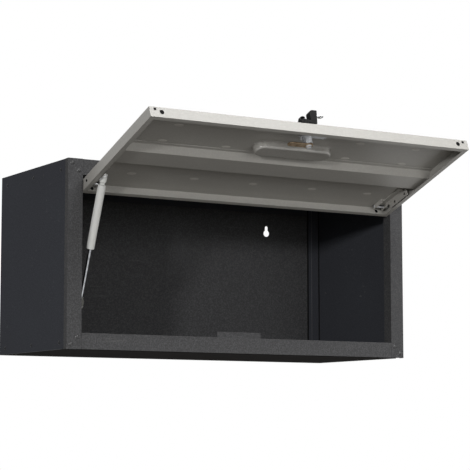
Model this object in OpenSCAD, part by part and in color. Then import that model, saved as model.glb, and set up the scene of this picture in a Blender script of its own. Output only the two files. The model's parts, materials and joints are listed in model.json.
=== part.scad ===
// Wall-mounted tool cabinet with a top-hinged flap door on one gas strut.
// The frame of the model: X along the wall, +Y into the wall, +Z up, with the
// origin on the wall face, midway between the two keyholes' round holes.
// Inside place(), sizes count from the cabinet's front lower left corner.

/* [Cabinet] */
// Width over the front frame
width = 755; // [600:5:1200]
// Depth from the front frame to the wall
depth = 305; // [250:5:450]
// Height of the cabinet
height = 350; // [335:5:600]
// Thickness of the casing sheet
sheet = 1; // [0.8:0.1:1.4]
// Width of the return flanges at the rear
rear_flange = 30; // [20:1:45]
// Height of the top and bottom panels' side flanges
side_flange = 28; // [24:1:40]

/* [Front frame] */
// Width of each stile
stile_w = 30; // [26:1:45]
// Height of each rail
rail_h = 30; // [27:1:45]
// How far a stile wraps round the side
stile_wrap = 13; // [8:1:20]
// Depth of a stile's return at the opening
stile_return = 24; // [22:1:30]
// Depth of a rail's return at the opening
rail_return = 21.6; // [21.5:0.1:22]
// Width of the strike tab on the bottom rail
strike_w = 98; // [70:2:120]
// Height of the strike tab above the rail
strike_h = 12; // [8:1:16]

/* [Wall keyholes] */
// Distance between the two keyholes
keyhole_spacing = 480; // [300:10:520]
// Height of the round holes below the cabinet's top
keyhole_drop = 74; // [50:1:100]
// Diameter of the round hole, which passes the screw's head
keyhole_d = 14; // [10:0.5:18]
// Width of the slot above it, which holds the screw's shank
keyhole_slot = 7; // [5:0.5:8]
// Length of the slot above the round hole's centre
keyhole_rise = 16; // [12:1:22]

/* [Door] */
// Depth of the door's tray
door_t = 20; // [19:0.5:20.5]
// Thickness of the door's sheet
door_sheet = 1; // [0.8:0.1:1.2]
// Gap round the door
door_gap = 1.2; // [1:0.1:2]
// Width of the lip round the tray's rim
door_lip = 10; // [6:0.5:11]
// Distance of the pivot behind the door's outer face
pivot_back = 4.5; // [4.2:0.1:5]
// Distance of the pivot below the door's top edge
pivot_down = 12; // [10:0.5:12.5]
// Diameter of the pivot pins
pin_d = 5; // [4:0.25:5.5]
// Opening angle of the door
open_angle = 110.5; // [95:0.5:112]

/* [Stiffener] */
// Distance of the stiffener's near foot from the pivot
hat_from = 78; // [77:0.5:90]
// Clearance between its far foot and the grip cup's rim
hat_gap = 2.5; // [1:0.5:6]
// How far each of its walls slopes outwards
hat_slope = 12; // [6:0.5:16]
// Width of each foot
hat_foot = 8; // [6:0.5:9]
// Height of the raised face above the skin
hat_h = 12; // [8:0.5:13]

/* [Grip cup] */
// Length of the grip cup
cup_l = 164; // [120:2:220]
// Width of the grip cup
cup_w = 35; // [30:1:40]
// Depth of the grip cup
cup_h = 13; // [10:0.5:16]
// Distance of the cup's middle from the door's free edge
cup_up = 90.6; // [86:0.2:95]
// Radius of the cup's pressed edge
cup_edge = 4; // [2:0.5:6]

/* [Lock] */
// Distance of the lock's axis from the door's free edge
lock_up = 37.6; // [33:0.2:42]
// Diameter of the lock's barrel
barrel_d = 16; // [14:0.5:18]
// Length of the barrel behind the skin
barrel_l = 20.8; // [20.5:0.1:22]
// Reach of the cam from the lock's axis
cam_reach = 45; // [42:1:50]
// Width of the cam
cam_w = 14; // [10:0.5:16]
// Thickness of the cam
cam_t = 2; // [1.5:0.25:3]
// Diameter of the handle's hub
hub_d = 24; // [20:1:28]
// Height of the lever's top above the door
lever_h = 30.5; // [26:0.5:33]
// Width of the lever
lever_w = 13; // [12:0.5:18]
// Height of the key housing above the door
housing_h = 50.5; // [46:0.5:56]
// Diameter of the key plug
plug_d = 11; // [9:0.5:12]

/* [Gas strut] */
// Distance of the strut's plane from the cabinet's side
strut_in = 54; // [52:1:60]
// Distance of the upper ball from the pivot, along the door
ball_down = 40; // [38:0.5:44]
// Distance of the upper ball from the door's outer face
ball_back = 12.3; // [11.5:0.1:13]
// Height of the pivot above the lower ball
foot_drop = 221; // [215:1:228]
// Distance of the lower ball behind the pivot
foot_back = 53.5; // [50:0.5:57]
// Diameter of the strut's tube
tube_d = 15; // [13:0.5:15]
// Length of the strut's tube
tube_l = 122; // [110:1:126]
// Diameter of the rod
rod_d = 6; // [5:0.5:8]
// Diameter of the ball ends
ball_d = 10; // [8:0.5:10]

/* [Hidden] */

$fn = 48;
eps = 0.01;
seam = 0.3;
run = 0.05;

frame_colour = [0.24, 0.25, 0.26];
panel_colour = [0.17, 0.18, 0.20];
door_colour = [0.66, 0.66, 0.64];
zinc_colour = [0.78, 0.79, 0.80];
strut_colour = [0.72, 0.73, 0.74];
black_colour = [0.06, 0.06, 0.06];

door_x = stile_w + door_gap;
door_w = width - 2 * door_x;
door_top = height - rail_h - door_gap;
door_bottom = rail_h + door_gap;
door_h = door_top - door_bottom;
pivot = [pivot_back, door_top - pivot_down];
keyhole_z = height - keyhole_drop;

rivet_head_d = 8;
rivet_head_h = 1.7;
rivet_d = 4;
rivet_tail_d = 5.6;
rivet_tail_h = 1.2;
corner_rivets = [[8.3, 9], [21.6, 22.3]];
side_rivet_from_ends = 30;
side_rivet_top = 18.5;
side_rivet_bottom = 12.5;
side_rivet_ys = [side_rivet_from_ends + 3, depth / 2 + 2.5, depth - side_rivet_from_ends + 2];
tab_in = 4;
tab_on = 15;
tab_inset = 4;
top_rail_drop = 0.4;
top_rail_lip = 15;
flange_start = 2;

bracket_t = 2;
ball_reach = 11;
leg_x = strut_in - ball_reach;
ear_gap = 21;
ear_x = leg_x + ear_gap;
leg_low = 84;
base_low = 74;
ear_low = 25;
bracket_up = 7;
base_from = 6;
base_w = 14;
leg_depth = door_t - 1.5;
leg_step = 6;
ear_depth = 8.5;
ear_end = 22;
spare_hole = 34;
spare_hole_d = 6;
washer_d = 8.4;
pin_behind = 5;
pin_head_d = 6.6;
pin_head_t = 2;
clip_d = 6.8;
clip_t = 0.8;

foot = pivot + [foot_back, -foot_drop];
foot_plate = 30;
foot_web_up = 14;
foot_base_h = 26;
stud_d = 6;
stud_hex = 11.5;
stud_flange = 2;
nut_t = 5;
neck_d = 5;
socket_d = 13.5;
socket_edge = 2;
socket_top = 7.2;
socket_low = 9.5;
socket_neck = 15;
socket_neck_d = 9;
tube_wall = 1.1;
guide_l = 9;
piston_l = 8;
piston_at = socket_neck + tube_l - guide_l - 3;

end_hole_small = [10.8, 4.4, 4];
end_hole_large = [23.8, 9.4, 7];
side_hole = [16.5, 9.4, 4.5];
edge_plug_over = 0.9;
edge_plug_t = 0.6;
edge_plug_in = 2;
cup_rim = 3;

cup_z = door_bottom + cup_up;
hat_far = pivot[1] - cup_z - cup_w / 2 - cup_rim - hat_gap;
hat_at = (hat_from + hat_far) / 2;
hat_face = hat_far - hat_from - 2 * (hat_slope + hat_foot);
hat_toe = hat_face / 2 + hat_slope;
hat_end = hat_toe + hat_foot;
hat_corner = door_sheet * tan(atan2(hat_h - door_sheet, hat_slope) / 2);

lock_z = door_bottom + lock_up;
clamp_t = 2;
clamp_w = 14;
clamp_out = 46;
clamp_back = 12;
lock_nut_t = 4;
cam_y = barrel_l + 2;
handle_gap = 0.3;
escutcheon_t = 3;
escutcheon_d = 34;
spindle_d = 10;
spindle_in = 18;
square_w = 7;
cam_hub = 18;
screw_d = 12;
screw_flange = 1;
screw_af = 8;
screw_h = 4.5;
nut_af = 24;
lever_t = 9;
hook_r = 8;
hook_x = -0.7;
hook_t = 2;
hook_w = 8;
housing_from = 13.5;
housing_to = 31.5;
housing_lean = 5;
housing_round = 9;
key_y = 41;
key_t = 1.8;
key_w = 7;
key_in = 7;
bow_r = 5.5;
bow_out = 10;
plug_in = 11;
plug_lip = 0.8;

// Turns a point of the side view about the pivot's axis
function turned(p, a) = [p[0] * cos(a) - p[1] * sin(a), p[0] * sin(a) + p[1] * cos(a)];

// Points of an arc from angle a to angle b
function arc(c, r, a, b, n = 10) =
    [for (i = [0:n]) c + r * [cos(a + (b - a) * i / n), sin(a + (b - a) * i / n)]];

// A list from its last item to its first
function reversed(list) = [for (i = [len(list) - 1:-1:0]) list[i]];

upper_ball = pivot + turned([ball_back - pivot_back, -ball_down], -open_angle);
strut_run = foot - upper_ball;
strut_len = norm(strut_run);
strut_tilt = atan2(strut_run[0], -strut_run[1]);

// Puts cabinet coordinates into the model's frame
module place() {
    translate([-width / 2, -depth, -keyhole_z]) children();
}

// Takes the closed door's coordinates to the open door
module on_door() {
    place() translate([0, pivot[0], pivot[1]]) rotate([-open_angle, 0, 0])
        translate([0, -pivot[0], -pivot[1]]) children();
}

// Makes the right-hand copy of a left-hand piece
module right_hand() {
    translate([width, 0, 0]) mirror([1, 0, 0]) children();
}

// Runs down the strut from the upper ball, along -Z
module on_strut(down = 0) {
    place() translate([strut_in, upper_ball[0], upper_ball[1]]) rotate([strut_tilt, 0, 0])
        translate([0, 0, -down]) children();
}

// A round bar or hole along X from x to x + len
module along_x(x, y, z, d, len) {
    translate([x, y, z]) rotate([0, 90, 0]) cylinder(d = d, h = len);
}

// A round bar or hole along Y from y to y + len
module along_y(x, y, z, d, len) {
    translate([x, y, z]) rotate([-90, 0, 0]) cylinder(d = d, h = len);
}

// A hexagon prism along X, w across flats
module hex_x(x, y, z, w, len) {
    translate([x, y, z]) rotate([0, 90, 0]) cylinder(d = w / cos(30), h = len, $fn = 6);
}

// A blind rivet: its head stands on z = 0 and its shank runs down through grip
module rivet(grip) {
    cap_r = (pow(rivet_head_h, 2) + pow(rivet_head_d / 2, 2)) / (2 * rivet_head_h);
    intersection() {
        translate([0, 0, rivet_head_h - cap_r]) sphere(r = cap_r);
        cylinder(d = rivet_head_d, h = rivet_head_h + eps);
    }
    translate([0, 0, -grip - rivet_tail_h]) cylinder(d = rivet_d - 2 * run, h = grip + rivet_tail_h + eps);
    translate([0, 0, -grip - rivet_tail_h]) cylinder(d = rivet_tail_d, h = rivet_tail_h);
}

module side_sheet() {
    difference() {
        union() {
            translate([sheet, sheet + seam, sheet])
                cube([sheet, depth - 2 * sheet - seam, height - 2 * sheet]);
            translate([sheet, depth - 2 * sheet, sheet])
                cube([rear_flange, sheet, height - 2 * sheet]);
        }
        for (y = side_rivet_ys, z = [side_rivet_bottom, height - side_rivet_top])
            along_x(-eps, y, z, rivet_d, 4 * sheet);
    }
}

module side_panel_left() {
    color(panel_colour) place() side_sheet();
}

module side_panel_right() {
    color(panel_colour) place() right_hand() side_sheet();
}

// The plate and flanges that the top and bottom panels share, seen as the bottom one
module tray(front_y, rivet_z) {
    flange_y = stile_return + flange_start;
    translate([sheet, front_y + seam, 0]) cube([width - 2 * sheet, depth - sheet - front_y - seam, sheet]);
    for (side = [0, 1])
        translate([side * width, 0, 0]) mirror([side, 0, 0]) difference() {
            translate([2 * sheet, flange_y, 0])
                cube([sheet, depth - 2 * sheet - seam - flange_y, side_flange]);
            for (y = side_rivet_ys) along_x(sheet, y, rivet_z, rivet_d, 4 * sheet);
        }
    translate([sheet + rear_flange + seam, depth - 2 * sheet, 0])
        cube([width - 2 * (sheet + rear_flange + seam), sheet, rear_flange]);
}

module bottom_panel() {
    color(panel_colour) place() tray(stile_return, side_rivet_bottom);
}

module top_panel() {
    color(panel_colour) place() translate([0, 0, height]) mirror([0, 0, 1])
        tray(top_rail_lip, side_rivet_top);
}

module keyhole() {
    along_y(0, -eps, 0, keyhole_d, sheet + 2 * eps);
    along_y(0, -eps, keyhole_rise - keyhole_slot / 2, keyhole_slot, sheet + 2 * eps);
    translate([-keyhole_slot / 2, -eps, 0])
        cube([keyhole_slot, sheet + 2 * eps, keyhole_rise - keyhole_slot / 2]);
}

module back_panel() {
    color(panel_colour) place() difference() {
        translate([sheet, depth - sheet, 0]) cube([width - 2 * sheet, sheet, height]);
        for (side = [-1, 1])
            translate([width / 2 + side * keyhole_spacing / 2, depth - sheet, keyhole_z]) keyhole();
    }
}

module stile() {
    difference() {
        union() {
            cube([stile_w, sheet, height]);
            cube([sheet, stile_wrap, height]);
            translate([stile_w - sheet, 0, rail_h]) cube([sheet, stile_return, height - 2 * rail_h]);
        }
        for (r = corner_rivets, z = [r[1], height - r[1]]) along_y(r[0], -eps, z, rivet_d, 3 * sheet);
        along_x(stile_w - 2 * sheet, pivot[0], pivot[1], pin_d + 2 * run, 3 * sheet);
    }
}

module stile_left() {
    color(frame_colour) place() stile();
}

module stile_right() {
    color(frame_colour) place() right_hand() stile();
}

// A rail seen as the bottom one: face, both returns and a riveted tab behind each stile
module rail(face_h, outer_return) {
    outer_z = rail_h - face_h;
    translate([stile_w + seam / 2, 0, outer_z]) cube([width - 2 * stile_w - seam, sheet, face_h]);
    translate([stile_w + seam / 2, 0, rail_h - sheet])
        cube([width - 2 * stile_w - seam, rail_return, sheet]);
    translate([stile_w + seam / 2, 0, outer_z])
        cube([width - 2 * stile_w - seam, outer_return, sheet]);
    for (side = [0, 1]) translate([side * width, 0, 0]) mirror([side, 0, 0]) difference() {
        translate([tab_in, sheet, tab_inset])
            cube([stile_w + tab_on - tab_in, sheet, rail_h - 2 * tab_inset]);
        for (r = corner_rivets) along_y(r[0], 0, r[1], rivet_d, 3 * sheet);
    }
}

module top_rail() {
    color(frame_colour) place() translate([0, 0, height]) mirror([0, 0, 1])
        rail(rail_h - top_rail_drop, top_rail_lip);
}

module bottom_rail() {
    color(frame_colour) place() {
        rail(rail_h, stile_return);
        translate([width / 2 - strike_w / 2, rail_return - sheet, rail_h - sheet])
            cube([strike_w, sheet, strike_h + sheet]);
    }
}

module frame_rivets() {
    color(frame_colour) place() for (r = corner_rivets, x = [r[0], width - r[0]], z = [r[1], height - r[1]])
        translate([x, 0, z]) rotate([90, 0, 0]) rivet(2 * sheet);
}

module side_rivets() {
    color(panel_colour) place() for (y = side_rivet_ys, z = [side_rivet_bottom, height - side_rivet_top]) {
        translate([sheet, y, z]) rotate([0, -90, 0]) rivet(2 * sheet);
        right_hand() translate([sheet, y, z]) rotate([0, -90, 0]) rivet(2 * sheet);
    }
}

module strut_foot_bracket() {
    color(panel_colour) place() translate([0, foot[0] - foot_plate / 2, foot[1]]) difference() {
        union() {
            translate([2 * sheet, 0, foot_web_up]) cube([bracket_t, foot_plate, foot_base_h]);
            translate([2 * sheet, 0, foot_web_up])
                cube([leg_x + bracket_t - 2 * sheet, foot_plate, bracket_t]);
            translate([leg_x, 0, -foot_web_up]) cube([bracket_t, foot_plate, 2 * foot_web_up + bracket_t]);
        }
        along_x(leg_x - 1, foot_plate / 2, 0, stud_d + 2 * run, bracket_t + 2);
    }
}

// The threaded shank and hexagon collar of a ball stud, with its face at the leg
module stud_base() {
    along_x(-nut_t, 0, 0, stud_d, nut_t + bracket_t + eps);
    hex_x(bracket_t, 0, 0, stud_hex, stud_flange);
}

module stud_nut() {
    difference() {
        hex_x(-nut_t, 0, 0, stud_hex - 1.5, nut_t);
        along_x(-nut_t - 1, 0, 0, stud_d + 2 * run, nut_t + 2);
    }
}

module strut_foot_stud() {
    color(zinc_colour) place() translate([leg_x, foot[0], foot[1]]) stud_base();
}

module strut_foot_nut() {
    color(zinc_colour) place() translate([leg_x, foot[0], foot[1]]) stud_nut();
}

// The stadium outline of the grip cup, r from its spine
module stadium(r, y, h) {
    for (side = [-1, 1]) along_y(width / 2 + side * (cup_l - cup_w) / 2, y, cup_z, 2 * r, h);
    translate([width / 2 - (cup_l - cup_w) / 2, y, cup_z - r]) cube([cup_l - cup_w, h, 2 * r]);
}

module door_pan() {
    color(door_colour) on_door() difference() {
        translate([door_x, 0, door_bottom]) cube([door_w, door_t, door_h]);
        translate([door_x + door_sheet, door_sheet, door_bottom + door_sheet])
            cube([door_w - 2 * door_sheet, door_t - 2 * door_sheet, door_h - 2 * door_sheet]);
        translate([door_x + door_lip, door_sheet, door_bottom + door_lip])
            cube([door_w - 2 * door_lip, door_t, door_h - 2 * door_lip]);
        for (side = [0, 1]) translate([side * width, 0, 0]) mirror([side, 0, 0]) {
            along_x(door_x - 1, pivot[0], pivot[1], pin_d + 2 * run, door_sheet + 2);
            along_x(door_x - 1, side_hole[1], pivot[1] - side_hole[0], side_hole[2], door_sheet + 2);
            for (hole = [end_hole_small, end_hole_large])
                translate([door_x + hole[0], hole[1], door_bottom - 1])
                    cylinder(d = hole[2], h = door_h + 2);
        }
        stadium(cup_w / 2 - door_sheet, -1, 3);
        along_y(width / 2, -1, lock_z, barrel_d + 2 * run, 3);
    }
}

// A snap-in plug for a hole at the end of the door's free edge
module edge_plug(hole) {
    translate([door_x + hole[0], hole[1], door_bottom]) {
        translate([0, 0, -edge_plug_t])
            cylinder(d1 = hole[2] + edge_plug_over, d2 = hole[2] + 2 * edge_plug_over, h = edge_plug_t);
        cylinder(d = hole[2] - 2 * run, h = door_sheet + eps);
        translate([0, 0, door_sheet])
            cylinder(d1 = hole[2] + edge_plug_over / 2, d2 = hole[2] - edge_plug_over, h = edge_plug_in);
    }
}

module edge_plugs() {
    color(black_colour) on_door() for (hole = [end_hole_small, end_hole_large]) {
        edge_plug(hole);
        right_hand() edge_plug(hole);
    }
}

// Half of the stiffener's section: along the door, then height above the skin
function hat_half(side, lift, k) = [[side * hat_end, lift], [side * (hat_toe + k), lift],
    [side * (hat_face / 2 + k), lift + hat_h - door_sheet]];
module door_stiffener() {
    under = concat(hat_half(-1, 0, 0), reversed(hat_half(1, 0, 0)));
    over = concat(hat_half(-1, door_sheet, hat_corner), reversed(hat_half(1, door_sheet, hat_corner)));
    color(door_colour) on_door() translate([door_x + door_sheet + seam, door_sheet, pivot[1] - hat_at])
        rotate([0, 90, 0]) linear_extrude(door_w - 2 * door_sheet - 2 * seam)
            polygon(concat(under, reversed(over)));
}

// Half of the cup's section: distance from its spine, then height above the skin
function cup_half() = concat(
    [[0, cup_h - door_sheet]], [for (p = arc([cup_w / 2 - cup_edge, cup_h - cup_edge],
        cup_edge - door_sheet, 90, 0, 5)) p], [[cup_w / 2 - door_sheet, 0], [cup_w / 2 + cup_rim, 0],
    [cup_w / 2 + cup_rim, door_sheet], [cup_w / 2, door_sheet]],
    arc([cup_w / 2 - cup_edge, cup_h - cup_edge], cup_edge, 0, 90, 5), [[0, cup_h]]);

module grip_cup() {
    color(door_colour) on_door() translate([width / 2, door_sheet, cup_z]) rotate([-90, 0, 0]) {
        for (side = [0, 1]) mirror([side, 0, 0]) translate([(cup_l - cup_w) / 2, 0, 0])
            rotate([0, 0, -90]) rotate_extrude(angle = 180) polygon(cup_half());
        for (side = [0, 1]) mirror([0, side, 0]) rotate([90, 0, 90])
            translate([0, 0, -(cup_l - cup_w) / 2]) linear_extrude(cup_l - cup_w) polygon(cup_half());
    }
}

module hinge_bracket() {
    up = pivot[1] + bracket_up;
    difference() {
        union() {
            translate([leg_x, door_sheet, pivot[1] - base_low])
                cube([bracket_t, leg_depth - door_sheet, base_low - ear_end]);
            translate([leg_x, door_sheet, pivot[1] - ear_end - eps])
                cube([bracket_t, ear_depth, ear_end + bracket_up + eps]);
            translate([leg_x, leg_step, pivot[1] - leg_low])
                cube([bracket_t, leg_depth - leg_step, leg_low - base_low + eps]);
            translate([ear_x, door_sheet, pivot[1] - ear_low])
                cube([bracket_t, ear_depth, ear_low + bracket_up]);
            translate([leg_x, door_sheet, pivot[1] - ear_low])
                cube([ear_x + bracket_t - leg_x, bracket_t, ear_low - base_from]);
            translate([leg_x, door_sheet, pivot[1] - base_low])
                cube([base_w, bracket_t, base_low - base_from]);
        }
        along_x(leg_x - 1, pivot[0], pivot[1], pin_d + 2 * run, ear_x - leg_x + bracket_t + 2);
        along_x(leg_x - 1, ball_back, pivot[1] - ball_down, stud_d + 2 * run, bracket_t + 2);
        along_x(leg_x - 1, ball_back, pivot[1] - ball_down - spare_hole, spare_hole_d, bracket_t + 2);
        along_x(leg_x - 1, side_hole[1], pivot[1] - side_hole[0], side_hole[2] + 1, bracket_t + 2);
    }
}

module hinge_bracket_left() {
    color(zinc_colour) on_door() hinge_bracket();
}

module hinge_bracket_right() {
    color(zinc_colour) on_door() right_hand() hinge_bracket();
}

module pivot_pin() {
    along_x(stile_w - pin_behind, pivot[0], pivot[1], pin_d,
        ear_x + bracket_t + seam - stile_w + pin_behind);
    along_x(ear_x + bracket_t + seam, pivot[0], pivot[1], pin_head_d, pin_head_t);
}

module pivot_pin_left() {
    color(zinc_colour) on_door() pivot_pin();
}

module pivot_pin_right() {
    color(zinc_colour) on_door() right_hand() pivot_pin();
}

module ring_x(x, d, bore, len) {
    difference() {
        along_x(x, pivot[0], pivot[1], d, len);
        along_x(x - 1, pivot[0], pivot[1], bore, len + 2);
    }
}

module pin_clips() {
    color(zinc_colour) on_door() for (side = [0, 1]) translate([side * width, 0, 0]) mirror([side, 0, 0])
        ring_x(leg_x + bracket_t + seam, clip_d, pin_d + 2 * run, clip_t);
}

module pivot_washers() {
    color(black_colour) on_door() for (side = [0, 1]) translate([side * width, 0, 0]) mirror([side, 0, 0])
        ring_x(stile_w + 0.1, washer_d, pin_d + 2 * run, door_gap - 0.2);
}

module ball_with_neck(from_x) {
    along_x(from_x, 0, 0, neck_d, strut_in - from_x);
    translate([strut_in, 0, 0]) sphere(d = ball_d);
}

module door_ball_stud() {
    color(zinc_colour) on_door() translate([0, ball_back, pivot[1] - ball_down]) {
        translate([leg_x, 0, 0]) stud_base();
        ball_with_neck(leg_x + bracket_t + stud_flange - eps);
    }
}

module door_stud_nut() {
    color(zinc_colour) on_door() translate([leg_x, ball_back, pivot[1] - ball_down]) stud_nut();
}

module lock_escutcheon() {
    color(black_colour) on_door() difference() {
        along_y(width / 2, -escutcheon_t, lock_z, escutcheon_d, escutcheon_t);
        along_y(width / 2, -escutcheon_t - 1, lock_z, barrel_d + 2 * run, escutcheon_t + 2);
    }
}

module lock_barrel() {
    color(zinc_colour) on_door() difference() {
        along_y(width / 2, -escutcheon_t, lock_z, barrel_d, escutcheon_t + barrel_l);
        along_y(width / 2, -escutcheon_t - 1, lock_z, spindle_d + 2 * run, escutcheon_t + barrel_l + 2);
    }
}

// The plate behind the skin that keeps the lock from turning
module lock_clamp() {
    color(zinc_colour) on_door() translate([width / 2, 0, lock_z]) difference() {
        union() {
            translate([-clamp_back, door_sheet, -clamp_w / 2])
                cube([clamp_back + clamp_out - clamp_w / 2, clamp_t, clamp_w]);
            along_y(clamp_out - clamp_w / 2, door_sheet, 0, clamp_w, clamp_t);
            along_y(0, door_sheet, 0, nut_af, clamp_t);
        }
        along_y(0, 0, 0, barrel_d + 2 * run, door_sheet + clamp_t + 1);
    }
}

module lock_nut() {
    color(zinc_colour) on_door() difference() {
        translate([width / 2, door_sheet + clamp_t, lock_z]) rotate([-90, 0, 0])
            cylinder(d = nut_af / cos(30), h = lock_nut_t, $fn = 6);
        along_y(width / 2, 0, lock_z, barrel_d + 2 * run, door_sheet + clamp_t + lock_nut_t + 1);
    }
}

// Puts the lock's own frame in place: x to the cam's side, y out of the door
module on_lock() {
    on_door() translate([width / 2, 0, lock_z]) mirror([0, 1, 0]) children();
}

module handle() {
    hub_from = escutcheon_t + handle_gap;
    lever_from = lever_h - lever_t;
    color(black_colour) on_lock() difference() {
        union() {
            translate([0, hub_from, 0]) rotate([-90, 0, 0])
                cylinder(d1 = hub_d, d2 = lever_w, h = lever_h - hub_from);
            translate([0, 0, -lever_w / 2]) linear_extrude(lever_w) polygon(concat(
                [[hook_x - hook_r, lever_from], [housing_to - housing_lean, lever_from]],
                [[housing_to, housing_h]],
                arc([housing_from + housing_round, housing_h - housing_round], housing_round, 90, 180),
                [[housing_from, lever_h - hook_t], [hook_x - hook_r, lever_h - hook_t]]));
            translate([0, 0, -hook_w / 2]) linear_extrude(hook_w) polygon(concat(
                [[hook_x - hook_r, lever_from]], arc([hook_x, lever_h - hook_t], hook_r, 180, 50),
                arc([hook_x, lever_h - hook_t], hook_r - hook_t, 50, 180),
                [[hook_x - hook_r + hook_t, lever_from]]));
        }
        translate([0, hub_from - 1, 0]) rotate([-90, 0, 0])
            cylinder(d = spindle_d + 2 * run, h = spindle_in + 1);
        along_x(housing_to - plug_in, key_y, 0, plug_d + 2 * run, plug_in + 1);
    }
}

module lock_spindle() {
    color(zinc_colour) on_lock() {
        translate([0, -cam_y, 0]) rotate([-90, 0, 0])
            cylinder(d = spindle_d, h = cam_y + escutcheon_t + handle_gap + spindle_in);
        translate([-square_w / 2, -cam_y - cam_t, -square_w / 2]) cube([square_w, cam_t + eps, square_w]);
    }
}

module latch_cam() {
    color(zinc_colour) on_lock() difference() {
        translate([0, -cam_y - cam_t, 0]) rotate([-90, 0, 0]) union() {
            cylinder(d = cam_hub, h = cam_t);
            translate([cam_w / 2 - cam_reach, -cam_w / 2, 0]) cube([cam_reach - cam_w / 2, cam_w, cam_t]);
            translate([cam_w / 2 - cam_reach, 0, 0]) cylinder(d = cam_w, h = cam_t);
        }
        translate([-square_w / 2 - run, -cam_y - cam_t - 1, -square_w / 2 - run])
            cube([square_w + 2 * run, cam_t + 2, square_w + 2 * run]);
    }
}

module cam_screw() {
    color(zinc_colour) on_lock() translate([0, -cam_y - cam_t, 0]) rotate([90, 0, 0]) {
        cylinder(d = screw_d, h = screw_flange);
        cylinder(d = screw_af / cos(30), h = screw_h, $fn = 6);
    }
}

module key_plug() {
    color(zinc_colour) on_lock() difference() {
        along_x(housing_to - plug_in, key_y, 0, plug_d, plug_in + plug_lip);
        translate([housing_to - key_in - run, key_y - key_t / 2 - run, -key_w / 2 - run])
            cube([key_in + plug_lip + 1, key_t + 2 * run, key_w + 2 * run]);
    }
}

module key() {
    bow_x = housing_to + bow_out;
    color(zinc_colour) on_lock() difference() {
        union() {
            translate([housing_to - key_in, key_y - key_t / 2, -key_w / 2])
                cube([key_in + bow_out, key_t, key_w]);
            translate([bow_x, key_y - key_t / 2, 0]) rotate([-90, 0, 0]) cylinder(r = bow_r, h = key_t);
        }
        translate([bow_x + bow_r / 3, key_y - key_t, 0]) rotate([-90, 0, 0])
            cylinder(r = bow_r / 3, h = 2 * key_t);
    }
}

module ball_socket() {
    difference() {
        union() {
            translate([0, 0, -socket_low]) cylinder(d = socket_d, h = socket_low + socket_top - socket_edge);
            translate([0, 0, socket_top - socket_edge])
                cylinder(d1 = socket_d, d2 = socket_d - 2 * socket_edge, h = socket_edge);
            translate([0, 0, -socket_neck]) cylinder(d = socket_neck_d, h = socket_neck - socket_low + eps);
        }
        sphere(d = ball_d + 2 * run);
        along_x(-socket_d, 0, 0, ball_d - 1.2, socket_d);
    }
}

module upper_socket() {
    color(strut_colour) on_strut() ball_socket();
}

module strut_tube() {
    color(strut_colour) on_strut(socket_neck + tube_l) difference() {
        cylinder(d = tube_d, h = tube_l);
        translate([0, 0, -1]) cylinder(d = tube_d - 2 * tube_wall, h = tube_l - 1);
    }
}

module rod_guide() {
    color(black_colour) on_strut(socket_neck + tube_l) difference() {
        cylinder(d = tube_d - 2 * tube_wall - 2 * run, h = guide_l);
        translate([0, 0, -1]) cylinder(d = rod_d + 2 * run, h = guide_l + 2);
    }
}

module strut_piston() {
    color(black_colour) on_strut(piston_at) difference() {
        cylinder(d = tube_d - 2 * tube_wall - 2 * run, h = piston_l);
        translate([0, 0, -1]) cylinder(d = rod_d + 2 * run, h = piston_l + 2);
    }
}

module strut_rod() {
    color(zinc_colour) on_strut(strut_len - socket_neck)
        cylinder(d = rod_d, h = strut_len - socket_neck - piston_at + piston_l);
}

module lower_socket() {
    color(strut_colour) on_strut(strut_len) mirror([0, 0, 1]) ball_socket();
}

module lower_ball() {
    color(zinc_colour) on_strut(strut_len) translate([-strut_in, 0, 0])
        ball_with_neck(leg_x + bracket_t + stud_flange + seam);
}

side_panel_left();
side_panel_right();
top_panel();
bottom_panel();
back_panel();
stile_left();
stile_right();
top_rail();
bottom_rail();
frame_rivets();
side_rivets();
strut_foot_bracket();
strut_foot_stud();
strut_foot_nut();
door_pan();
door_stiffener();
grip_cup();
hinge_bracket_left();
hinge_bracket_right();
pivot_pin_left();
pivot_pin_right();
pin_clips();
pivot_washers();
edge_plugs();
door_ball_stud();
door_stud_nut();
lock_escutcheon();
lock_barrel();
lock_clamp();
lock_nut();
handle();
lock_spindle();
latch_cam();
cam_screw();
key_plug();
key();
strut_tube();
upper_socket();
rod_guide();
strut_rod();
strut_piston();
lower_socket();
lower_ball();
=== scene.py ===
"""Finishes and small fittings of the wall-mounted tool cabinet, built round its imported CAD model."""
import json
import math

import bpy
from mathutils import Matrix, Vector


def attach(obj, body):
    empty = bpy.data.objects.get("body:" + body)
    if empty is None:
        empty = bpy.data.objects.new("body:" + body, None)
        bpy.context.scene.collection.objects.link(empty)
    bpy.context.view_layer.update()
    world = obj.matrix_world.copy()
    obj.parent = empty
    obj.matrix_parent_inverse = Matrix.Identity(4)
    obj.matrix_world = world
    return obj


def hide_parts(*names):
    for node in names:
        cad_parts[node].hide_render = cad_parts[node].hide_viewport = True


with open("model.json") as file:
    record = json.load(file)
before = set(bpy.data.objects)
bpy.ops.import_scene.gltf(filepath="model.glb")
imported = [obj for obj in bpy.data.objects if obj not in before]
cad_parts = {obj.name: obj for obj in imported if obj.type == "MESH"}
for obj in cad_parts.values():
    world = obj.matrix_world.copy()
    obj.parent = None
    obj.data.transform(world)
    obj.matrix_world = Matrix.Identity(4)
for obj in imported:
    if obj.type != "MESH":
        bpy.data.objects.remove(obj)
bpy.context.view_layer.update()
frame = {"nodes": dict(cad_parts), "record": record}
nodes = frame["nodes"]
body_of_node = {n: b for b, members in frame["record"]["behaviour"]["bodies"].items() for n in members}
slot_of_node = {s["node"]: s["material_slot"] for s in frame["record"]["subparts"]}

# The cabinet's front lower left corner in the model's frame, in metres
CORNER = Vector((-0.3775, -0.305, -0.276))

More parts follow.
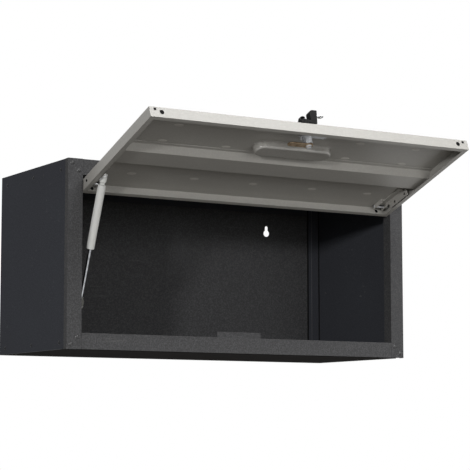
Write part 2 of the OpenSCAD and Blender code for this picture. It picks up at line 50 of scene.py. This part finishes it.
# Sizes and places in millimetres, counted from that corner with the door shut
MM = 0.001
WIDTH, DEPTH, HEIGHT = 755.0, 305.0, 350.0
SHEET = 1.0
PIVOT_Y, PIVOT_Z = 4.5, 306.8
LOCK_X, LOCK_Z = WIDTH / 2, 68.8
DOOR_X = 31.2
# The round hole in each door flange: below the pivot, and behind the door's front
SIDE_HOLE_DOWN, SIDE_HOLE_BACK = 16.5, 9.4
# The weld spots of the door's skin: how far below the pivot each row is, and its places along the door
WELD_SPOTS = {226: (116, 507, 637), 168: (112, 245, 509, 643), 41.5: (113, 246, 376, 512, 644)}
# Rivets of the front frame, from each corner, rivets of the sides, and how far their heads stand out
CORNER_RIVETS = ((8.3, 9.0), (21.6, 22.3))
SIDE_RIVET_YS, SIDE_RIVET_ZS = (33.0, 155.0, 277.0), (12.5, HEIGHT - 18.5)
FRAME_HEAD, SIDE_HEAD = 1.5, 0.5
# The strut: its upper ball below the pivot and behind the door's front, and its lower ball below and
# behind the pivot
STRUT_X = 54.0
BALL_DOWN, BALL_BACK = 40.0, 12.3
FOOT_DOWN, FOOT_BACK = 221.0, 53.5
SOCKET_NECK, TUBE_LENGTH = 15.0, 122.0

# Angles in degrees: the open door, an edge sharp enough to ease, sheet that counts as flat, and the
# widest turn that shades as one surface
OPEN_ANGLE = 110.5
SHARP_EDGE, FLAT_SHEET, SMOOTH_TURN = 40, 0.5, 35


# Shading
FLOAT, VECTOR = "NodeSocketFloat", "NodeSocketVector"


def new_group(name, inputs, outputs):
    """An empty shader group with (name, kind, default) inputs and (name, kind) outputs."""
    group = bpy.data.node_groups.new(name, "ShaderNodeTree")
    for label, kind, default in inputs:
        socket = group.interface.new_socket(label, in_out="INPUT", socket_type=kind)
        socket.default_value = default
    for label, kind in outputs:
        group.interface.new_socket(label, in_out="OUTPUT", socket_type=kind)
    return group, group.nodes.new("NodeGroupInput"), group.nodes.new("NodeGroupOutput")


def node(tree, kind, **values):
    """A node with its settings and its unlinked input values."""
    made = tree.nodes.new(kind)
    for key, value in values.items():
        if hasattr(made, key):
            setattr(made, key, value)
        else:
            made.inputs[key.replace("_", " ")].default_value = value
    return made


def feed(tree, socket, value):
    """Links the output of another node to a socket, or writes a plain value into it."""
    if isinstance(value, bpy.types.NodeSocket):
        tree.links.new(value, socket)
    else:
        socket.default_value = value


def object_place(tree):
    return tree.nodes.new("ShaderNodeTexCoord").outputs["Object"]


def noise(tree, place, scale, detail=2.0, rough=0.5):
    made = node(tree, "ShaderNodeTexNoise", Detail=detail, Roughness=rough)
    feed(tree, made.inputs["Scale"], scale)
    tree.links.new(place, made.inputs["Vector"])
    return made.outputs["Fac"]


def spread(tree, value, low, high, out_low=0.0, out_high=1.0):
    """A value from low to high, spread over out_low to out_high and held between them."""
    made = node(tree, "ShaderNodeMapRange", clamp=True, From_Min=low, From_Max=high,
                To_Min=out_low, To_Max=out_high)
    tree.links.new(value, made.inputs["Value"])
    return made.outputs["Result"]


def mix(tree, factor, plain, other):
    """A colour that goes from the plain one to the other as the factor grows."""
    made = node(tree, "ShaderNodeMix", data_type="RGBA")
    for label, value in (("Factor", factor), ("A", plain), ("B", other)):
        feed(tree, made.inputs[label], value)
    return made.outputs["Result"]


def maths(tree, operation, first, second):
    made = node(tree, "ShaderNodeMath", operation=operation)
    feed(tree, made.inputs[0], first)
    feed(tree, made.inputs[1], second)
    return made.outputs["Value"]


def coat_grain_group():
    """The fine pebbled skin of a powder coat, its light and dark specks, and slow clouds in its tone."""
    coarser, fine_height, fine_part, coarse_part = 0.36, 0.6, 0.4, 0.6
    speck_low, speck_high, cloud_scale = 0.38, 0.62, 7.0
    group, given, result = new_group(
        "coat_grain", (("Grain Scale", FLOAT, 900.0), ("Speckle", FLOAT, 0.3)),
        (("Height", FLOAT), ("Speckle", FLOAT), ("Cloud", FLOAT)))
    place, scale = object_place(group), given.outputs["Grain Scale"]
    cells = node(group, "ShaderNodeTexVoronoi", feature="SMOOTH_F1")
    group.links.new(place, cells.inputs["Vector"])
    group.links.new(scale, cells.inputs["Scale"])
    fine = noise(group, place, scale, 3.0)
    coarse = noise(group, place, maths(group, "MULTIPLY", scale, coarser))
    height = maths(group, "ADD", cells.outputs["Distance"], maths(group, "MULTIPLY", fine, fine_height))
    group.links.new(height, result.inputs["Height"])
    both = maths(group, "ADD", maths(group, "MULTIPLY", fine, fine_part),
                 maths(group, "MULTIPLY", coarse, coarse_part))
    speck = spread(group, both, speck_low, speck_high, -1.0, 1.0)
    group.links.new(maths(group, "MULTIPLY", speck, given.outputs["Speckle"]), result.inputs["Speckle"])
    group.links.new(noise(group, place, cloud_scale, 3.0), result.inputs["Cloud"])
    return group


def scuffs_group():
    """Thin handling marks, drawn out along a slant and found only in some places."""
    slant, stretch, patch_scale = (0.4, 0.7, 0.3), (6.0, 90.0, 140.0), 11.0
    group, given, result = new_group("scuffs", (("Density", FLOAT, 0.5),), (("Marks", FLOAT),))
    place = object_place(group)
    turned = node(group, "ShaderNodeMapping", Rotation=slant, Scale=stretch)
    group.links.new(place, turned.inputs["Vector"])
    streak = noise(group, turned.outputs["Vector"], 1.0, 4.0, 0.6)
    where = noise(group, place, patch_scale)
    marks = maths(group, "MULTIPLY", spread(group, streak, 0.62, 0.74), spread(group, where, 0.5, 0.7))
    group.links.new(maths(group, "MULTIPLY", marks, given.outputs["Density"]), result.inputs["Marks"])
    return group


def brush_group():
    """Fine lines left by drawing or grinding, along one axis."""
    group, given, result = new_group(
        "brush_lines", (("Stretch", VECTOR, (20.0, 1500.0, 1500.0)),), (("Height", FLOAT), ("Tone", FLOAT)))
    scaled = node(group, "ShaderNodeVectorMath", operation="MULTIPLY")
    group.links.new(object_place(group), scaled.inputs[0])
    group.links.new(given.outputs["Stretch"], scaled.inputs[1])
    lines = noise(group, scaled.outputs["Vector"], 1.0, 3.0, 0.6)
    group.links.new(lines, result.inputs["Height"])
    group.links.new(spread(group, lines, 0.3, 0.7), result.inputs["Tone"])
    return group


GRAIN, SCUFFS, BRUSH = coat_grain_group(), scuffs_group(), brush_group()


def use(tree, group, **values):
    """Places a shared effect in a material, with the material's own values."""
    made = tree.nodes.new("ShaderNodeGroup")
    made.node_tree = group
    for key, value in values.items():
        made.inputs[key.replace("_", " ")].default_value = value
    return made.outputs


def rgb(red, green, blue):
    """A colour of the screen, 0 to 255, as the shader's linear light."""
    linear = [v / 12.92 if v <= 0.04045 else ((v + 0.055) / 1.055) ** 2.4
              for v in (red / 255, green / 255, blue / 255)]
    return (*linear, 1.0)


def times(colour, factor):
    """A lighter or darker colour."""
    return [min(1, factor * v) for v in colour[:3]] + [1]


def base_material(name, **plain):
    material = bpy.data.materials.new(name)
    material.use_nodes = True
    tree = material.node_tree
    shader = tree.nodes["Principled BSDF"]
    for key, value in plain.items():
        shader.inputs[key.replace("_", " ")].default_value = value
    return material, tree, shader


def bump(tree, shader, height, distance, strength):
    made = node(tree, "ShaderNodeBump", Strength=strength, Distance=distance)
    tree.links.new(height, made.inputs["Height"])
    tree.links.new(made.outputs["Normal"], shader.inputs["Normal"])


def coated(name, dark, light, rough, sheen, speck, scale, depth):
    """Paint on steel: two close tones, pebbled grain, light and dark specks, and scuffs."""
    pale_speck, dark_speck, scuffed = times(light, 2.4), times(dark, 0.35), rgb(150, 150, 148)
    scuffed_by, polished_by = 0.35, 0.15
    material, tree, shader = base_material(name, Specular_IOR_Level=sheen)
    grain = use(tree, GRAIN, Grain_Scale=scale, Speckle=speck)
    marks = use(tree, SCUFFS, Density=0.5)["Marks"]
    tone = mix(tree, spread(tree, grain["Cloud"], 0.1, 0.9), dark, light)
    tone = mix(tree, maths(tree, "MAXIMUM", grain["Speckle"], 0.0), tone, pale_speck)
    shade = maths(tree, "MAXIMUM", maths(tree, "MULTIPLY", grain["Speckle"], -1.0), 0.0)
    tone = mix(tree, shade, tone, dark_speck)
    tone = mix(tree, maths(tree, "MULTIPLY", marks, scuffed_by), tone, scuffed)
    tree.links.new(tone, shader.inputs["Base Color"])
    tree.links.new(spread(tree, marks, 0.0, 1.0, rough, rough - polished_by), shader.inputs["Roughness"])
    bump(tree, shader, grain["Height"], depth, strength=0.5)
    return material


def metal(name, bright, dull, rough_low, rough_high, stretch, depth, cloud_scale):
    """Bare or plated metal: cloudy plate, drawn lines and small marks."""
    lined_by, marked_by = 0.25, 0.15
    material, tree, shader = base_material(name, Metallic=1.0)
    lines = use(tree, BRUSH, Stretch=stretch)
    marks = use(tree, SCUFFS, Density=0.8)["Marks"]
    cloud = spread(tree, noise(tree, object_place(tree), cloud_scale, 3.0), 0.35, 0.65)
    tone = mix(tree, cloud, dull, bright)
    tone = mix(tree, maths(tree, "MULTIPLY", lines["Tone"], lined_by), tone, dull)
    tree.links.new(tone, shader.inputs["Base Color"])
    rough = maths(tree, "ADD", spread(tree, cloud, 0.0, 1.0, rough_high, rough_low),
                  maths(tree, "MULTIPLY", marks, marked_by))
    tree.links.new(rough, shader.inputs["Roughness"])
    bump(tree, shader, lines["Height"], depth, strength=0.35)
    return material


def plastic(name, colour, pale, rough, sheen, scale, depth):
    """Moulded black plastic with a fine eroded skin and a few pale rubbed streaks."""
    rubbed_by, duller_by = 0.5, 0.12
    material, tree, shader = base_material(name, Specular_IOR_Level=sheen)
    grain = use(tree, GRAIN, Grain_Scale=scale, Speckle=0.3)
    marks = use(tree, SCUFFS, Density=0.6)["Marks"]
    tone = mix(tree, maths(tree, "MAXIMUM", grain["Speckle"], 0.0), colour, pale)
    tone = mix(tree, maths(tree, "MULTIPLY", marks, rubbed_by), tone, pale)
    tree.links.new(tone, shader.inputs["Base Color"])
    tree.links.new(spread(tree, grain["Cloud"], 0.3, 0.7, rough, rough + duller_by),
                   shader.inputs["Roughness"])
    bump(tree, shader, grain["Height"], depth, strength=0.4)
    return material


# The grain of each coat: how strong its specks are, how fine it is, and its depth in metres
FRAME_GRAIN = {"speck": 0.26, "scale": 1100.0, "depth": 0.00010}
CASING_GRAIN = {"speck": 0.12, "scale": 1300.0, "depth": 0.00006}
RIVET_GRAIN = {"speck": 0.08, "scale": 1100.0, "depth": 0.00003}
PRESSED_GRAIN = {"speck": 0.08, "scale": 1300.0, "depth": 0.00003}
DOOR_GRAIN = {"speck": 0.04, "scale": 700.0, "depth": 0.00004}
CUP_GRAIN = {"speck": 0.04, "scale": 700.0, "depth": 0.00002}
STRUT_GRAIN = {"speck": 0.04, "scale": 1400.0, "depth": 0.00004}
# Grain of the lower socket's paint, which is darkened as painted shade
SHADED_SOCKET_GRAIN = {"speck": 0.06, "scale": 1400.0, "depth": 0.00004}
# How the lines of plate and of ground steel are drawn out along x, y and z
PLATE_LINES, GROUND_LINES = (300.0, 300.0, 900.0), (2500.0, 2500.0, 40.0)

FINISHES = {
    "frame_paint": coated(
        "textured_frame_coat", rgb(68, 68, 69), rgb(72, 72, 73), rough=0.6, sheen=0.02, **FRAME_GRAIN),
    # Rivet heads of the frame: the frame coat, glossier and painted darker as shade on the heads
    "frame_rivet_shaded_paint": coated(
        "gloss_frame_coat_with_painted_shade_on_rivets", rgb(44, 44, 45), rgb(48, 48, 49), rough=0.3, sheen=0.5, **RIVET_GRAIN),
    # Rivet heads of the sides: the casing coat, glossier and painted darker as shade on the heads
    "casing_rivet_shaded_paint": coated(
        "gloss_casing_coat_with_painted_shade_on_rivets", rgb(34, 35, 38), rgb(38, 39, 42), rough=0.45, sheen=0.15,
        **RIVET_GRAIN),
    "casing_paint": coated(
        "textured_casing_coat", rgb(63, 64, 69), rgb(66, 68, 73), rough=0.6, sheen=0.0, **CASING_GRAIN),
    # The raised line on each rear flange: the casing coat painted lighter as a highlight on the line
    "flange_line_highlight_paint": coated(
        "casing_coat_painted_lighter_as_highlight_on_pressed_line", rgb(76, 77, 81), rgb(80, 81, 86), rough=0.45, sheen=0.2,
        **PRESSED_GRAIN),
    # The bottom rail: the frame coat without sheen, painted lighter as light in place of its reflection
    "low_frame_painted_light": coated(
        "textured_frame_coat_painted_lighter_below", rgb(71, 71, 72), rgb(75, 75, 76), rough=0.6, sheen=0.0, **FRAME_GRAIN),
    # The bottom panel: the casing coat without sheen, painted much lighter as light on its underside
    "underside_painted_light": coated(
        "textured_casing_coat_painted_lighter_below", rgb(94, 95, 98), rgb(98, 99, 102), rough=0.6, sheen=0.0,
        **CASING_GRAIN),
    "door_paint": coated(
        "light_door_coat", rgb(152, 150, 145), rgb(157, 155, 150), rough=0.4, sheen=0.5, **DOOR_GRAIN),
    # The grip cup: the door coat, glossier and painted a little lighter as light on the cup
    "cup_painted_light": coated(
        "light_door_coat_painted_lighter_on_cup", rgb(158, 156, 151), rgb(163, 161, 156), rough=0.24, sheen=0.8,
        **CUP_GRAIN),
    # The weld spot ovals: the door coat painted lighter as a highlight on the ovals
    "spot_highlight_paint": coated(
        "light_door_coat_painted_highlight_on_spots", rgb(178, 176, 170), rgb(184, 182, 176), rough=0.38, sheen=0.5,
        **DOOR_GRAIN),
    "zinc": metal(
        "bright_zinc_plate", rgb(222, 223, 225), rgb(190, 192, 194), rough_low=0.26, rough_high=0.36,
        stretch=PLATE_LINES, depth=0.00001, cloud_scale=160.0),
    "strut_paint": coated(
        "silver_strut_paint", rgb(214, 215, 212), rgb(220, 221, 218), rough=0.35, sheen=0.35, **STRUT_GRAIN),
    # The lower socket: the strut paint made darker as painted shade on the socket
    "shaded_strut_paint": coated(
        "silver_strut_paint_in_painted_shade", rgb(96, 96, 92), rgb(108, 108, 104), rough=0.4, sheen=0.3,
        **SHADED_SOCKET_GRAIN),
    "yellow_zinc": metal(
        "yellow_passivated_zinc", rgb(168, 150, 124), rgb(112, 92, 70), rough_low=0.3, rough_high=0.45,
        stretch=PLATE_LINES, depth=0.00004, cloud_scale=120.0),
    "rod_steel": metal(
        "ground_rod_steel", rgb(198, 200, 204), rgb(150, 152, 156), rough_low=0.12, rough_high=0.2,
        stretch=GROUND_LINES, depth=0.00002, cloud_scale=90.0),
    "black_plastic": plastic(
        "moulded_black_plastic", rgb(12, 12, 13), rgb(34, 34, 34), rough=0.42, sheen=0.08,
        scale=1500.0, depth=0.00005),
    "black_nylon": plastic(
        "black_nylon", rgb(16, 16, 16), rgb(40, 40, 40), rough=0.6, sheen=0.05,
        scale=1300.0, depth=0.00006),
}

# Nodes whose finish differs a little from the rest of their slot: darker copies of the coat as painted shade
# on the rivets and the lower socket, lighter copies as painted light on the bottom rail, the bottom panel
# and the grip cup
LOOKS = {
    "frame_rivets": "frame_rivet_shaded_paint", "side_rivets": "casing_rivet_shaded_paint",
    "bottom_rail": "low_frame_painted_light", "bottom_panel": "underside_painted_light",
    "grip_cup": "cup_painted_light", "lower_socket": "shaded_strut_paint",
}

# How far the edges of a node are eased, in millimetres
EASED = {
    "side_panel_left": 0.4, "side_panel_right": 0.4, "top_panel": 0.4, "bottom_panel": 0.4,
    "back_panel": 0.35, "stile_left": 0.42, "stile_right": 0.42, "top_rail": 0.42, "bottom_rail": 0.42,
    "strut_foot_bracket": 0.5, "hinge_bracket_left": 0.4, "hinge_bracket_right": 0.4,
    "door_pan": 0.4, "door_stiffener": 0.4, "grip_cup": 0.4,
    "strut_foot_stud": 0.3, "strut_foot_nut": 0.4, "door_stud_nut": 0.4, "door_ball_stud": 0.2,
    "edge_plugs": 0.15,
    "lock_nut": 0.5, "lock_clamp": 0.3, "lock_escutcheon": 1.0, "lock_barrel": 0.6, "handle": 0.9,
    "latch_cam": 0.35, "cam_screw": 0.3, "key_plug": 0.3, "key": 0.3, "strut_tube": 0.6,
    "upper_socket": 0.8, "lower_socket": 0.8, "pivot_pin_left": 0.4, "pivot_pin_right": 0.4,
}


# Modelling
def select_none():
    bpy.ops.object.select_all(action="DESELECT")


def select_only(piece):
    select_none()
    piece.select_set(True)
    bpy.context.view_layer.objects.active = piece


def apply(piece, kind, **settings):
    """Gives a piece a modifier and applies it."""
    select_only(piece)
    modifier = piece.modifiers.new(kind.lower(), kind)
    for key, value in settings.items():
        setattr(modifier, key, value)
    bpy.ops.object.modifier_apply(modifier=modifier.name)


def smooth(piece, degrees=SMOOTH_TURN):
    select_only(piece)
    bpy.ops.object.shade_smooth_by_angle(angle=math.radians(degrees))


def copy_of(piece):
    twin = piece.copy()
    twin.data = piece.data.copy()
    bpy.context.scene.collection.objects.link(twin)
    return twin


def finish(piece, body, slot, name, look=None):
    """Gives a piece its finish and makes it move with its body."""
    piece.name = name
    piece.data.name = name
    piece.data.materials.clear()
    piece.data.materials.append(FINISHES[look or slot])
    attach(piece, body)


def eased(node_name, radius):
    """A copy of a CAD node with its sheet edges eased, which stands in for the node."""
    piece = copy_of(nodes[node_name])
    for key in list(piece.keys()):
        del piece[key]
    piece.parent = None
    select_only(piece)
    bpy.ops.object.mode_set(mode="EDIT")
    bpy.ops.mesh.select_all(action="SELECT")
    bpy.ops.mesh.remove_doubles(threshold=1e-6)
    bpy.ops.mesh.dissolve_limited(angle_limit=math.radians(FLAT_SHEET))
    bpy.ops.object.mode_set(mode="OBJECT")
    apply(piece, "BEVEL", width=radius * MM, segments=2, limit_method="ANGLE",
          angle_limit=math.radians(SHARP_EDGE), use_clamp_overlap=False)
    smooth(piece)
    # Flat sheet stays flat in the light, and only its eased edges turn
    apply(piece, "WEIGHTED_NORMAL", keep_sharp=True, weight=100)
    finish(piece, body_of_node[node_name], slot_of_node[node_name], node_name + "_finished",
           LOOKS.get(node_name))
    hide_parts(node_name)


for node_name, radius in EASED.items():
    eased(node_name, radius)

for node_name, cad in nodes.items():
    if node_name not in EASED:
        cad.data.materials.clear()
        cad.data.materials.append(FINISHES[LOOKS.get(node_name, slot_of_node[node_name])])


def shift(x, y, z):
    return Matrix.Translation((x * MM, y * MM, z * MM))


def turn(degrees, axis):
    return Matrix.Rotation(math.radians(degrees), 4, axis)


# Where the parts of the cabinet are at rest, with the door open
IN_CABINET = Matrix.Translation(CORNER)
ON_DOOR = IN_CABINET @ shift(0, PIVOT_Y, PIVOT_Z) @ turn(-OPEN_ANGLE, "X") @ shift(0, -PIVOT_Y, -PIVOT_Z)
ON_LOCK = ON_DOOR @ shift(LOCK_X, 0, LOCK_Z) @ turn(180, "X")
UPPER_BALL = (ON_DOOR @ shift(STRUT_X, BALL_BACK, PIVOT_Z - BALL_DOWN)).translation
LOWER_BALL = (IN_CABINET @ shift(STRUT_X, PIVOT_Y + FOOT_BACK, PIVOT_Z - FOOT_DOWN)).translation
STRUT_LINE = LOWER_BALL - UPPER_BALL
STRUT_LENGTH = STRUT_LINE.length / MM
STRUT_TILT = math.degrees(math.atan2(STRUT_LINE.y, -STRUT_LINE.z))
ON_STRUT = Matrix.Translation(UPPER_BALL) @ turn(STRUT_TILT, "X")


def settle(piece, place):
    """Puts a piece in its place and leaves the place in its mesh."""
    piece.matrix_world = place @ piece.matrix_world
    select_only(piece)
    bpy.ops.object.transform_apply(location=True, rotation=True, scale=True)
    return piece


def sized(piece, x, y, z):
    piece.scale = (x, y, z)
    select_only(piece)
    bpy.ops.object.transform_apply(location=False, rotation=False, scale=True)
    return piece


def pick_faces(piece, test):
    """Selects the faces that pass the test, by their middle and normal, and stays in edit mode."""
    select_only(piece)
    bpy.ops.object.mode_set(mode="EDIT")
    bpy.ops.mesh.select_mode(type="FACE")
    bpy.ops.mesh.select_all(action="DESELECT")
    bpy.ops.object.mode_set(mode="OBJECT")
    for face in piece.data.polygons:
        face.select = test(face.center / MM, face.normal)
    bpy.ops.object.mode_set(mode="EDIT")


def step_top(piece, steps):
    """Insets the top face and lifts it, once for each (inset, lift) in millimetres."""
    top = max(v.co.z for v in piece.data.vertices) / MM
    pick_faces(piece, lambda middle, normal: normal.z > 0.9 and middle.z > top - 0.01)
    for inset, lift in steps:
        bpy.ops.mesh.inset(thickness=inset * MM, depth=0)
        bpy.ops.transform.translate(value=(0, 0, lift * MM))
    bpy.ops.object.mode_set(mode="OBJECT")
    return piece


def disc(radius, height, sides, at=0.0):
    """A round slab standing on z = at."""
    select_none()
    bpy.ops.mesh.primitive_cylinder_add(vertices=sides, radius=radius * MM, depth=height * MM,
                                        location=(0, 0, (at + height / 2) * MM))
    piece = bpy.context.object
    bpy.ops.object.transform_apply(location=True, rotation=False, scale=False)
    return piece


def ring(radius, thick, at=0.0, flat=1.0, rounds=40, sides=10):
    """A round bead lying at z = at, its height multiplied by flat."""
    select_none()
    bpy.ops.mesh.primitive_torus_add(major_radius=radius * MM, minor_radius=thick * MM,
                                     major_segments=rounds, minor_segments=sides)
    return settle(sized(bpy.context.object, 1, 1, flat), shift(0, 0, at))


def slab(x, y, z):
    select_none()
    bpy.ops.mesh.primitive_cube_add(size=1.0)
    return sized(bpy.context.object, x * MM, y * MM, z * MM)


def joined(pieces):
    select_none()
    for piece in pieces:
        piece.select_set(True)
    bpy.context.view_layer.objects.active = pieces[0]
    bpy.ops.object.join()
    return bpy.context.view_layer.objects.active


def repeated(pattern, places):
    """One piece made of a copy of the pattern at each place."""
    copies = [settle(copy_of(pattern), place) for place in places]
    bpy.data.objects.remove(pattern)
    return joined(copies)


def rounded(piece, width, segments=2):
    apply(piece, "BEVEL", width=width * MM, segments=segments, limit_method="ANGLE",
          angle_limit=math.radians(SHARP_EDGE))
    return piece


def add(piece, name, body, slot, degrees=SMOOTH_TURN, look=None):
    smooth(piece, degrees)
    finish(piece, body, slot, name, look)


def door_spot_marks():
    """The pressed ovals that the spot welds leave on the inside of the door's skin, coloured lighter than
    the door coat as a painted highlight.
    """
    half_length, half_width, sunk = 9.5, 4.2, 0.15
    domed = ((0.5, 0.2), (0.6, 0.12), (0.6, 0.04))
    oval = step_top(sized(disc(1.0, 0.2, sides=36), half_length, half_width, 1.0), domed)
    places = [ON_DOOR @ shift(x, SHEET - sunk, PIVOT_Z - down) @ turn(-90, "X")
              for down, row in WELD_SPOTS.items() for x in row]
    add(repeated(oval, places), "door_spot_marks", "door", "door_paint", 60, "spot_highlight_paint")


def rivet_mandrels():
    """The broken mandrel and its rim in the head of every blind rivet."""
    def pattern():
        stub = rounded(disc(0.95, 0.55, sides=14), 0.12)
        return joined([ring(1.5, 0.38, at=0.02, flat=0.7, rounds=20, sides=8), stub])
    # The mandrels take the rivets' coats, painted darker as shade
    front = [IN_CABINET @ shift(x, -FRAME_HEAD, z) @ turn(90, "X")
             for dx, dz in CORNER_RIVETS for x in (dx, WIDTH - dx) for z in (dz, HEIGHT - dz)]
    add(repeated(pattern(), front), "frame_rivet_mandrels", "cabinet", "frame_paint", 50,
        "frame_rivet_shaded_paint")
    sides = [IN_CABINET @ shift(x, y, z) @ turn(facing, "Y") for y in SIDE_RIVET_YS
             for z in SIDE_RIVET_ZS for x, facing in ((-SIDE_HEAD, -90), (WIDTH + SIDE_HEAD, 90))]
    add(repeated(pattern(), sides), "side_rivet_mandrels", "cabinet", "casing_paint", 50,
        "casing_rivet_shaded_paint")


def side_hole_plugs():
    """A black plug with a raised rim in the round hole of each door flange, beside the hinge."""
    plug = rounded(disc(2.75, 0.55, sides=24, at=-0.1), 0.15)
    plug = joined([plug, ring(1.75, 0.22, at=0.42, flat=0.7, rounds=24, sides=8)])
    places = [ON_DOOR @ shift(x, SIDE_HOLE_BACK, PIVOT_Z - SIDE_HOLE_DOWN) @ turn(facing, "Y")
              for x, facing in ((DOOR_X, -90), (WIDTH - DOOR_X, 90))]
    add(repeated(plug, places), "side_hole_plugs", "door", "black_nylon", 50)


def rear_seams():
    """Beside both rear flanges: black strips as painted shade in the two folds, and the raised line along
    the flange, coloured lighter as a painted highlight.
    """
    fold_xs, line_xs, length = (2.8, 31.6), (21.5,), HEIGHT - 6.0

    def upright(bar, offsets, y):
        sides = [x for offset in offsets for x in (offset, WIDTH - offset)]
        return repeated(bar, [IN_CABINET @ shift(x, y, HEIGHT / 2) for x in sides])
    # Black strips as painted shade in the two rear folds
    fold_shade = rounded(slab(2.6, 1.6, length), 0.6, 3)
    add(upright(fold_shade, fold_xs, DEPTH - 2.5), "rear_fold_painted_shade", "cabinet", "black_nylon")
    # The raised line, coloured lighter as a painted highlight
    line = rounded(slab(1.6, 0.9, length), 0.4, 3)
    add(upright(line, line_xs, DEPTH - 2.1), "rear_flange_lines", "cabinet", "casing_paint", 50,
        "flange_line_highlight_paint")


def strut_fittings():
    """The wire clips of both sockets, the wiper and rolled mouth of the tube, and the neck's thread."""
    half_gap, past_ball = 0.55, 2.4

    def clip():
        loop = ring(6.95, 0.55, rounds=48)
        pick_faces(loop, lambda middle, normal: abs(math.atan2(middle.y, middle.x)) < half_gap)
        bpy.ops.mesh.delete(type="FACE")
        bpy.ops.mesh.select_all(action="SELECT")
        bpy.ops.mesh.fill_holes(sides=0)
        bpy.ops.object.mode_set(mode="OBJECT")
        return loop
    for name, body, z in (("upper_socket_clip", "strut_tube", past_ball),
                          ("lower_socket_clip", "strut_rod", -STRUT_LENGTH - past_ball)):
        add(settle(clip(), ON_STRUT @ shift(0, 0, z)), name, body, "zinc")
    mouth = ON_STRUT @ shift(0, 0, -SOCKET_NECK - TUBE_LENGTH)
    wiper = joined([ring(4.35, 0.95, at=-0.2, flat=0.75), ring(3.65, 0.5, at=-0.9)])
    add(settle(wiper, mouth), "strut_wiper", "strut_tube", "black_nylon")
    rolled = joined([ring(6.75, 0.72, at=0.35, flat=0.8, rounds=48, sides=12),
                     ring(7.5, 0.22, at=9.0, rounds=48, sides=8)])
    add(settle(rolled, mouth), "strut_rolled_mouth", "strut_tube", "strut_paint")
    neck = joined([ring(4.5, 0.35, at=z, flat=0.8, rounds=32, sides=8)
                   for z in (-10.6, -11.8, -13.0, -14.2)])
    add(settle(neck, ON_STRUT), "upper_neck_thread", "strut_tube", "strut_paint")


def lock_fittings():
    """The barrel's thread, the escutcheon's beads and the handle's grip ribs."""
    first_thread, pitch, threads = 8.0, 1.25, 10
    thread = joined([ring(8.0, 0.42, at=first_thread + pitch * i, flat=0.7, sides=8)
                     for i in range(threads)])
    add(settle(thread, ON_DOOR @ shift(LOCK_X, 0, LOCK_Z) @ turn(-90, "X")),
        "lock_barrel_thread", "door", "zinc")
    beads = joined([ring(radius, thick, at=3.0, flat=0.8, rounds=56, sides=8)
                    for radius, thick in ((15.0, 0.5), (12.9, 0.35))])
    add(settle(beads, ON_LOCK @ turn(-90, "X")), "escutcheon_beads", "door", "black_plastic")
    rib = rounded(slab(0.9, 18.0, 1.1), 0.3)
    places = [ON_LOCK @ shift(13.5, 36.0, z) for z in (-4.0, -2.0, 0.0, 2.0, 4.0)]
    add(repeated(rib, places), "handle_grip_ribs", "handle", "black_plastic")


door_spot_marks()
rivet_mandrels()
side_hole_plugs()
rear_seams()
strut_fittings()
lock_fittings()


# Stage and light
def seen_or_mirrored(tree):
    """1 for rays from the camera, mirrors and glass, and 0 for rays that light."""
    path = tree.nodes.new("ShaderNodeLightPath").outputs
    return maths(tree, "MAXIMUM", path["Is Camera Ray"],
                 maths(tree, "MAXIMUM", path["Is Glossy Ray"], path["Is Transmission Ray"]))


def stage_floor():
    """A floor that looks white but for the cabinet's shadow, and throws little light back."""
    floor_z, floor_size, glow_strength, glow_part = -0.75, 14.0, 1.4, 0.6
    select_none()
    bpy.ops.mesh.primitive_plane_add(size=floor_size, location=(0, 0, floor_z))
    floor = bpy.context.object
    floor.name = "studio_floor"
    material, tree, shader = base_material("pale_floor", Base_Color=(0.10, 0.092, 0.08, 1), Roughness=0.9)
    glow = node(tree, "ShaderNodeEmission", Strength=glow_strength)
    blend = tree.nodes.new("ShaderNodeMixShader")
    tree.links.new(maths(tree, "MULTIPLY", seen_or_mirrored(tree), glow_part), blend.inputs["Fac"])
    tree.links.new(shader.outputs["BSDF"], blend.inputs[1])
    tree.links.new(glow.outputs["Emission"], blend.inputs[2])
    tree.links.new(blend.outputs["Shader"], tree.nodes["Material Output"].inputs["Surface"])
    floor.data.materials.append(material)


def world_light(strength):
    """A world that looks white and lights with the given strength."""
    world = bpy.data.worlds.new("studio")
    bpy.context.scene.world = world
    world.use_nodes = True
    tree = world.node_tree
    tree.nodes.clear()
    level = spread(tree, seen_or_mirrored(tree), 0.0, 1.0, strength, 1.0)
    back = node(tree, "ShaderNodeBackground", Color=(1, 1, 1, 1))
    tree.links.new(level, back.inputs["Strength"])
    out = tree.nodes.new("ShaderNodeOutputWorld")
    tree.links.new(back.outputs["Background"], out.inputs["Surface"])


def area_lamp(name, place, aim, size, watts):
    data = bpy.data.lights.new(name, "AREA")
    data.shape = "RECTANGLE"
    data.energy = watts
    data.size, data.size_y = size
    lamp = bpy.data.objects.new(name, data)
    bpy.context.scene.collection.objects.link(lamp)
    lamp.location = place
    lamp.rotation_euler = (Vector(aim) - Vector(place)).to_track_quat("-Z", "Y").to_euler()


def camera():
    """The place and lens of the photo's camera, which looks a little upwards."""
    place, upwards, heading, lens = (-1.73744, -3.15509, -0.42688), 6.496843, -0.541848, 133.1058
    data = bpy.data.cameras.new("photo_view")
    data.sensor_width = 36.0
    data.lens = lens
    data.clip_end = 60.0
    cam = bpy.data.objects.new("photo_view", data)
    bpy.context.scene.collection.objects.link(cam)
    cam.location = place
    cam.rotation_euler = (math.radians(90 + upwards), 0.0, heading)
    bpy.context.scene.camera = cam


camera()
stage_floor()
world_light(strength=0.5)
area_lamp("softbox", (0.8, -2.3, 2.1), aim=(0.05, -0.15, -0.05), size=(2.2, 1.2), watts=71.0)
area_lamp("low_box", (0.45, -3.3, 0.2), aim=(0.0, -0.15, -0.05), size=(2.4, 1.1), watts=21.0)
area_lamp("gleam_strip", (2.7, -3.2, 0.2), aim=(0.3, -0.2, 0.1), size=(0.35, 1.4), watts=3.0)
area_lamp("side_lamp", (-8.6, -7.15, 0.92), aim=(0.0, -0.2, -0.1), size=(0.8, 0.8), watts=385.0)
bpy.context.scene.view_settings.view_transform = "Standard"
